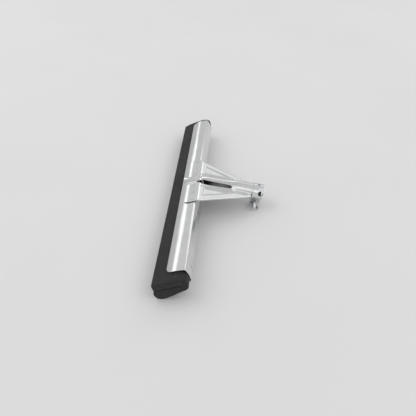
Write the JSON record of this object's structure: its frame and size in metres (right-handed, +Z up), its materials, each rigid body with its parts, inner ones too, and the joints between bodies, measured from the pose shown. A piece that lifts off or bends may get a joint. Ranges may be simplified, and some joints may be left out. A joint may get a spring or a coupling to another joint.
{
  "type": "floor squeegee head",
  "caption": "Floor squeegee head: black slotted foam rubber blade in a folded steel channel, with a pressed bracket, round handle socket and clamp collar closed by a wing nut.",
  "frame": {"origin": "centre of the footprint of the head as it lies at rest, on the level it rests on", "axes": "+X along the blade, +Y from the lips towards the handle, +Z up"},
  "size_m": [0.45, 0.1596, 0.0518],
  "materials": {
    "foam_rubber": "matt, closed-cell foam rubber with a fine grain",
    "zinc_steel": "zinc-coated sheet, satin with soft reflections along the folds",
    "bright_steel": "bright zinc plating"
  },
  "bodies": {
    "head": {"foam_blade": "foam_rubber", "blade_channel": "zinc_steel", "bracket_upper": "zinc_steel", "bracket_lower": "zinc_steel", "clamp_collar": "bright_steel", "clamp_bolt": "bright_steel"},
    "washer": {"clamp_washer": "bright_steel"},
    "wing_nut": {"wing_nut": "bright_steel"}
  },
  "joints": [
    {"name": "washer_slide", "type": "slide", "parent": "head", "child": "washer", "axis": [1, 0, 0], "range_m": [0, 0.00501]},
    {"name": "wing_nut_turn", "type": "hinge", "parent": "washer", "child": "wing_nut", "pos_m": [-0.003, 0.06417, 0.00708], "axis": [1, 0, 0], "range_deg": [0, 1800]}
  ],
  "couplings": [
    {"joint": "washer_slide", "follows": "wing_nut_turn", "m_per_rad": 0.00015915}
  ]
}
